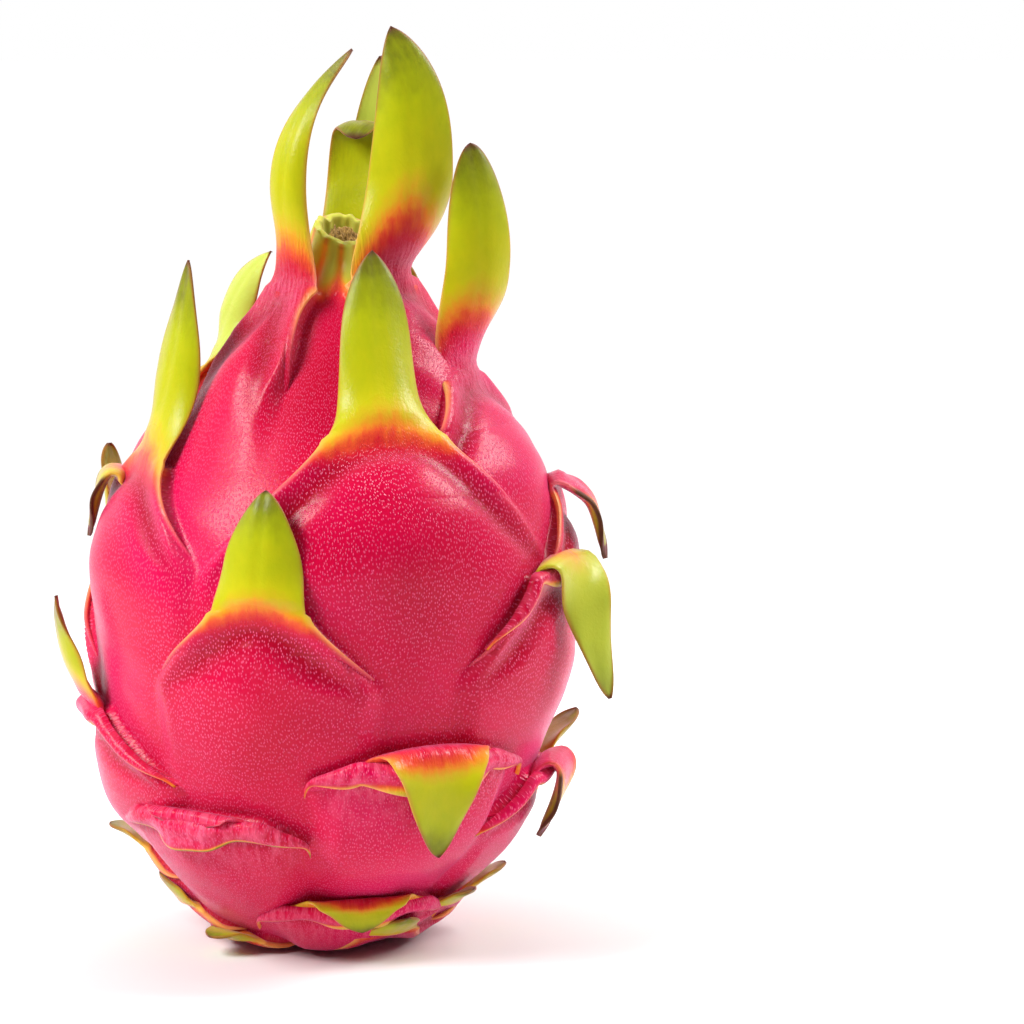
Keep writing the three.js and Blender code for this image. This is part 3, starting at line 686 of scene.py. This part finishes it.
def scale_surface(scale):
    """One scale as rows of a closed section. theta runs once round the section, with u = -cos theta
    across it and face = |sin theta|^0.5 through it, so the outer face comes first and the margins are
    round. The foot's rows lie on the shield and sink into the peel at their lower end. The blade's rows
    follow its midline, bent into an arc across, thickest in the middle as (1 - u^2)^0.7, turned by twist
    and waved at their margins."""
    theta = (np.arange(SECTION) * 2 * np.pi / SECTION)[None, :]
    u = -np.cos(theta)
    face = np.sign(np.sin(theta)) * np.abs(np.sin(theta)) ** 0.5
    phase = scale["index"] * 2.4
    thick = mix(THIN, THICK, smooth(scale["length"] / 20))

    foot = min(FOOT_LENGTH, 0.85 * scale["s"], max(scale["flare_length"], 8))
    below = np.linspace(foot, 0, FOOT_ROWS, endpoint=False)[:, None]
    s = scale["s"] - below
    z, r, tilt = outline_at(s)
    azimuth = scale["azimuth"] + u * shield_half_angle(scale, below)
    _, _, foot_inside, _, height, groove = shield_face(scale, azimuth, s)
    lower = [shield_face(other, azimuth, s)[3] for other in scales[:scale["index"]]]
    covered = np.max([np.zeros_like(height), *lower], axis=0)
    sink = smooth((below - 0.4 * foot) / (0.6 * foot))
    swell = mix(0.45, thick / 2, (1 - u * u) ** 0.7)
    sheet = np.where(face > 0, -0.3 * (1 - face) ** 2, 2 * face * swell - 0.3) + FOOT_LIFT
    fade = smooth(z / FLAT_FADE) * smooth((RIM_HEIGHT - z) / NECK_FADE)
    laid = np.maximum(height * fade, peel_surface(azimuth, s)[0])
    out = laid - (3.6 * sink + 2.4 * covered) * fade + sheet
    foot_points = place(azimuth, r + out * np.cos(tilt), z - out * np.sin(tilt))

    share = (1 - (1 - np.linspace(0, 1, BLADE_ROWS)) ** 1.35)[:, None]
    r, z, tilt = blade_path(scale, share)
    half = blade_half_width(scale, share)
    curl = mix(1 / scale["root"][1], 0.075, smooth(share * scale["length"] / 9))
    turn = u * half * curl
    level = tilt * smooth(share * 6)
    roll = scale["twist"] * DEG * smooth(share * 2.4)
    middle_half = thick / 2 * mix(1, 0.55, share) * mix(1, 0.35, smooth((share - 0.8) / 0.2))
    half_body = mix(mix(0.45, 0.34, share), middle_half, (1 - u * u) ** 0.7)
    midrib = 0.16 * bell(u * half / 0.8) * smooth((share - 0.1) / 0.2) * (face > 0)
    body = mix(sheet, half_body * face - midrib, smooth(share * 8))
    wave = 0.5 * np.abs(u) ** 3 * np.sin(9 * share + 2 * u + phase) * smooth(share * 4)
    side = np.sin(turn) / curl + np.sin(turn) * body
    bow = -(1 - np.cos(turn)) / curl + wave * smooth(scale["length"] / 20)
    lift = np.cos(turn) * body
    rolled_side = side * np.cos(roll) - (bow + lift) * np.sin(roll)
    rolled_bow = side * np.sin(roll) + bow * np.cos(roll)
    rolled_lift = lift * np.cos(roll)
    out = r + rolled_bow * np.cos(level) + rolled_lift * np.cos(tilt)
    up = z - rolled_bow * np.sin(level) - rolled_lift * np.sin(tilt)
    sideways = np.array([np.cos(scale["azimuth"]), np.sin(scale["azimuth"]), 0])
    blade_points = place(scale["azimuth"], out, up) + rolled_side[..., None] * sideways

    grid = np.ones_like(u)
    share_all = np.concatenate([-below / scale["length"], share])
    inside = np.concatenate([foot_inside, (1 - np.abs(u)) * half])
    foot_margin = smooth(1 - below / 22) * plain_margin(scale, below)
    blade_margin = smooth(share / 0.3) if scale["hem"] > 0 else np.ones_like(share)
    clear = np.concatenate([foot_margin, blade_margin])
    tip = smooth((share_all - mix(0.97, 0.82, scale["brown"])) / 0.08)
    rim = scale["brown"] * smooth((share_all - 0.1) / 0.2) * bell(inside / 0.9)
    looks = {
        "tone": tone_at(scale, -share_all * scale["length"], u, inside),
        "margin": bell(inside / np.where(share_all < 0, 0.6, 0.4)) * clear,
        "brown": np.maximum(tip * grid, rim),
        "fold": scale["fold"] * smooth(1 - np.abs(share_all - 0.02) / 0.28) * grid,
        "pale": scale["pale"] * smooth(share_all / 0.1) * grid,
        # deep: the groove's painted shade on the foot, fading out up the blade.
        "deep": np.concatenate([groove, groove[-1:] * (1 - smooth(share * 6))]),
        "along": (scale["s"] + share_all * scale["length"]) * grid,
    }
    points = np.concatenate([foot_points, blade_points])
    return points, looks, middles_of_ends(points)


def middles_of_ends(points):
    """The middle points of a grid's first and last rows."""
    return np.stack([points[0].mean(0), points[-1].mean(0)])


def hem_line(scale):
    """The line of a shield's margin as across, along and the direction pointing into the shield, in
    millimetres from the root on the unrolled skin: up one side, over the root and down the other,
    averaged over 6 mm so that its corners are round."""
    radius = scale["root"][1]
    down = np.linspace(hem_reach(scale), 0, 120)
    side = shield_half_angle(scale, down) * radius
    across = np.concatenate([-side, np.linspace(-side[-1], side[-1], 60)[1:-1], side[::-1]])
    along = np.concatenate([-down, np.zeros(58), -down[::-1]])
    walked = np.concatenate([[0], np.cumsum(np.hypot(np.diff(across), np.diff(along)))])
    even = np.linspace(0, walked[-1], 400)
    window = np.hanning(2 * int(3 / even[1]) + 3)
    spare = len(window) // 2
    across, along = (
        np.convolve(np.pad(np.interp(even, walked, line), spare, "reflect", reflect_type="odd"),
                    window / window.sum(), "valid")
        for line in (across, along)
    )
    ahead = np.stack([np.gradient(across), np.gradient(along)])
    ahead = ahead / np.hypot(*ahead)
    return across, along, ahead[1], -ahead[0]


def hem_surface(scale):
    """A hooded scale's margin, rolled outwards and back over its own shield: rows of a closed section
    along the margin's line. x runs from the line, 0, to the free edge, 1, and stands out of the shield by
    1.5 rise x^0.6 (1 - 0.55 x). Width and rise shrink towards both ends, and both are larger in front of
    the blade that hangs from the hem, where the edge has the blade's colour."""
    theta = (np.arange(SECTION) * 2 * np.pi / SECTION)[None, :]
    x = (1 - np.cos(theta)) / 2
    face = np.sign(np.sin(theta)) * np.abs(np.sin(theta)) ** 0.6
    rows = np.linspace(0, 399, HEM_ROWS)
    across, along, inward_across, inward_along = (
        np.interp(rows, np.arange(400), line)[:, None] for line in hem_line(scale)
    )
    ends = 1 - np.abs(np.linspace(-1, 1, HEM_ROWS))[:, None]
    beside = np.exp(-(across / (1.25 * scale["half"] * scale["waist"])) ** 4)
    width = scale["hem"] * smooth(ends / 0.5 + 0.12) * mix(0.75, 1.15, beside)
    rise = (HEM_RISE + scale["lip"] * beside) * smooth(ends / 0.5) - 0.5 * (1 - smooth(ends / 0.2))
    waved = 1 + 0.07 * np.sin(along * 0.5 + across * 0.3 + scale["index"])
    reach = width * waved * x - 0.5
    azimuth = scale["azimuth"] + (across + inward_across * reach) / scale["root"][1]
    s = scale["s"] + along + inward_along * reach
    z, r, tilt = outline_at(s)
    height = shield_face(scale, azimuth, s)[4]
    bow = 1.5 * rise * x ** 0.6 * (1 - 0.55 * x)
    out = (height + bow + face * mix(0.7, 0.4, x) - 0.5) * smooth(z / FLAT_FADE)
    points = place(azimuth, r + out * np.cos(tilt), z - out * np.sin(tilt))

    edge = width * (1 - x)
    grid = np.ones_like(edge)
    dry = scale["brown"] > 0.5
    lined = (0.6 if dry else 0.3) * bell(edge / 0.6) * (face > -0.3)
    hung = tone_at(scale, -0.35 * scale["length"], 0, 0) * smooth((x - 0.45) / 0.6)
    looks = {
        "tone": np.maximum(lined, beside * hung),
        "margin": bell(edge / 0.5) * smooth(ends / 0.3),
        "brown": scale["brown"] * 0.9 * bell(edge / 0.5) * dry,
        "fold": scale["fold"] * grid,
        "pale": 0 * grid,
        "deep": 0 * grid,
        "along": s * grid,
    }
    return points, looks, middles_of_ends(points)


SCALE_GROUPS = {"base_scales": range(0, 12), "flank_scales": range(12, 24), "crown_scales": range(24, 36)}
for name, members in SCALE_GROUPS.items():
    blades = [scale_surface(scales[i]) for i in members]
    hoods = [hem_surface(scales[i]) for i in members if scales[i]["hem"] > 0]
    group = closed_piece(name, blades + hoods)
    group.data.materials.append(skin)
    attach(group, "root")
    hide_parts("fruit")

# The dry flower
# When the fruit was picked, the withered flower was broken off and left brown, crumbly threads in the
# cup. It sits loose in the cup and is made as a mound of small crumbs.

flower_middle = (flower_low + flower_high) / 2 / MM
FLOWER_RADIUS = (flower_high.x - flower_low.x) / 2 / MM
FLOWER_DARK = srgb(92, 64, 24)
FLOWER_LIGHT = srgb(190, 152, 84)
FLOWER_GRAIN = 900


def make_flower():
    """A mound in rows from its rim to its top, tipped like the neck: the height falls with the radius
    cubed and dips in the middle, and crumbs about 1 mm wide are the absolute sum of crossed sine waves."""
    columns, rows = 96, 40
    azimuth = (np.arange(columns) * 2 * np.pi / columns)[None, :]
    reach = np.linspace(1, 0.04, rows)[:, None]
    x = reach * np.sin(azimuth) * FLOWER_RADIUS
    y = -reach * np.cos(azimuth) * FLOWER_RADIUS
    draw = Draws(909)
    crumbs = 0
    for _ in range(16):
        angle, pitch = draw(0, 6.28), draw(2.5, 7.5)
        crumbs = crumbs + np.sin(pitch * (x * np.cos(angle) + y * np.sin(angle)) + draw(0, 6.28))
    crumbs = np.abs(crumbs / 4)
    z = RIM_HEIGHT - 0.7 - 1.1 * reach ** 3 + 0.55 * crumbs - 0.6 * bell(reach / 0.3)
    x = x + flower_middle.x
    y = y + flower_middle.y
    floor = np.stack([x[:1], y[:1], np.full((1, columns), RIM_HEIGHT - CUP_DEPTH + 0.4)], -1)
    points = tip_neck(np.concatenate([floor, np.stack([x, y, z], -1)]), 1)
    return closed_piece("dry_flower", [(points, {}, middles_of_ends(points))])


def dry_material(name, dark, light, grain_scale, depth):
    """Dead plant matter: noise between a dark and a light brown, rough, with the same noise as its bump."""
    material = bpy.data.materials.new(name)
    n = Nodes(material)
    shader = n.tree.nodes["Principled BSDF"]
    where = n.add("ShaderNodeTexCoord").outputs["Object"]
    grain = n.noise(where, grain_scale, 5, 0.6)
    n.put(shader.inputs["Base Color"], n.ramp(grain, [(0.3, dark), (0.62, light)]))
    n.put(shader.inputs["Normal"], n.bump(grain, 0.8, depth))
    shader.inputs["Roughness"].default_value = 0.9
    return material


flower = make_flower()
flower.data.materials.append(dry_material("dried_flower", FLOWER_DARK, FLOWER_LIGHT, FLOWER_GRAIN, 0.0006))
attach(flower, "root")
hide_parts("flower_remnant")

# The cut stem
# A short stub of green-brown woody stem, snapped off in the dimple so that the fruit can stand. Its end
# shows a ring of bark round a paler core; here the stub is one noisy green-brown all over.

stem_middle = (stem_low + stem_high) / 2 / MM
STEM_RADIUS = (stem_high.x - stem_low.x) / 2 / MM
STEM_DARK = srgb(84, 84, 36)
STEM_LIGHT = srgb(160, 146, 84)
STEM_GRAIN = 500
# The stub's profile as shares of its radius, from its top down its side and over its cut end.
STEM_PROFILE = [0.3, 0.97, 1, 0.98, 0.94, 0.86, 0.78, 0.5, 0.42, 0.12]


def make_stem():
    """The profile's rows turned round the stub's axis: the radius carries eleven shallow ribs, and the cut
    end rises a little towards its core."""
    columns = 88
    azimuth = (np.arange(columns) * 2 * np.pi / columns)[None, :]
    low, high = stem_low.z / MM, stem_high.z / MM
    radius = np.array(STEM_PROFILE)[:, None] * STEM_RADIUS
    z = np.array([high, high, 1.9, 1.2, 0.85, low, low + 0.12, low + 0.1, low + 0.3, low + 0.34])[:, None]
    ribs = 0.035 * (1 + np.sin(11 * azimuth + np.sin(2 * azimuth))) * smooth(radius / 3)
    radius = radius * (1 - ribs)
    x = stem_middle.x + radius * np.sin(azimuth)
    y = stem_middle.y - radius * np.cos(azimuth)
    points = np.stack(np.broadcast_arrays(x, y, z), -1)[::-1]
    return closed_piece("cut_stem", [(points, {}, middles_of_ends(points))])


stem = make_stem()
stem.data.materials.append(dry_material("woody_stem", STEM_DARK, STEM_LIGHT, STEM_GRAIN, 0.0004))
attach(stem, "root")
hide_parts("stem_stub")

# The studio
# A plain white sweep under large soft lights, seen through a long lens from a little above the fruit's
# middle.

FLOOR_SIZE = 40.0
NEAR_FLOOR = 0.25
FAR_FLOOR = 0.8
FLOOR_GREY = (0.8, 0.8, 0.8, 1)
BLACK = (0, 0, 0, 1)
WHITE = (1, 1, 1, 1)
FRONT_GLOW = 0.06
MIDDLE_HEIGHT = 0.08
# Place in metres, side of the square in metres, and power in watts.
SOFTBOXES = {
    "left_softbox": ((-0.8, -0.38, 0.82), 0.5, 18.5),
    "right_softbox": ((0.85, 0.1, 0.8), 0.5, 14),
    "top_softbox": ((0.0, 0.35, 1.0), 0.8, 2.5),
}


def glow(n, direction):
    """The studio's brightness by direction: FRONT_GLOW towards the front, -Y, rising evenly to 1 towards
    the back."""
    y = n.add("ShaderNodeSeparateXYZ", {"Vector": direction}).outputs["Y"]
    return n.add("ShaderNodeMapRange", {0: y, 1: -0.2, 2: 0.5, 3: FRONT_GLOW, 4: 1.0}).outputs[0]


mesh = bpy.data.meshes.new("studio_floor")
edge = FLOOR_SIZE / 2
corners = [(-edge, -edge, 0), (edge, -edge, 0), (edge, edge, 0), (-edge, edge, 0)]
mesh.from_pydata(corners, [], [(0, 1, 2, 3)])
floor = bpy.data.objects.new("studio_floor", mesh)
bpy.context.scene.collection.objects.link(floor)
floor_paint = bpy.data.materials.new("white_floor")
n = Nodes(floor_paint)
shader = n.tree.nodes["Principled BSDF"]
spot = n.add("ShaderNodeTexCoord").outputs["Object"]
reach = n.add("ShaderNodeVectorMath", {0: spot}, operation="LENGTH").outputs["Value"]
far = n.add("ShaderNodeMapRange", {0: reach, 1: NEAR_FLOOR, 2: FAR_FLOOR, 3: 0.0, 4: 1.0}).outputs[0]
toward = n.add("ShaderNodeVectorMath", {0: spot}, operation="NORMALIZE").outputs["Vector"]
n.put(shader.inputs["Base Color"], n.blend(far, FLOOR_GREY, BLACK))
n.put(shader.inputs["Emission Strength"], n.math("MULTIPLY", far, glow(n, toward)))
shader.inputs["Emission Color"].default_value = WHITE
shader.inputs["Roughness"].default_value = 0.9
shader.inputs["Specular IOR Level"].default_value = 0.1
mesh.materials.append(floor_paint)

world = bpy.data.worlds.new("studio")
bpy.context.scene.world = world
sky = Nodes(world)
background = sky.tree.nodes["Background"]
background.inputs["Color"].default_value = WHITE
direction = sky.add("ShaderNodeTexCoord").outputs["Generated"]
sky.put(background.inputs["Strength"], glow(sky, direction))

for name, (position, side, power) in SOFTBOXES.items():
    light = bpy.data.lights.new(name, "AREA")
    light.size = side
    light.energy = power
    lamp = bpy.data.objects.new(name, light)
    bpy.context.scene.collection.objects.link(lamp)
    lamp.location = position
    towards = np.array([0, 0, MIDDLE_HEIGHT]) - np.array(position)
    lamp.rotation_euler = Vector(towards).to_track_quat("-Z", "Y").to_euler()

PIXEL_MM = 0.1875
FRAME_PIXELS = 1024
FRUIT_PIXEL_X = 320
GROUND_PIXEL_Y = 938
LENS = 120
SENSOR = 36
ELEVATION = 8 * DEG

camera_data = bpy.data.cameras.new("camera")
camera_data.lens = LENS
camera_data.sensor_width = SENSOR
camera = bpy.data.objects.new("camera", camera_data)
bpy.context.scene.collection.objects.link(camera)
bpy.context.scene.camera = camera
aim_x = (FRAME_PIXELS / 2 - FRUIT_PIXEL_X) * PIXEL_MM * MM
aim_z = (GROUND_PIXEL_Y - FRAME_PIXELS / 2) * PIXEL_MM * MM
distance = FRAME_PIXELS / 2 * PIXEL_MM * MM / (SENSOR / 2 / LENS)
base = np.array([*BASE, 0]) * MM
back, lifted = np.cos(ELEVATION) * distance, np.sin(ELEVATION) * distance
stand = base + np.array([0, -back, aim_z + lifted])
look = base + np.array([aim_x, 0, aim_z]) - stand
camera.location = stand
camera.rotation_euler = Vector(look).to_track_quat("-Z", "Y").to_euler()

bpy.context.scene.view_settings.view_transform = "Standard"

bpy.context.view_layer.update()
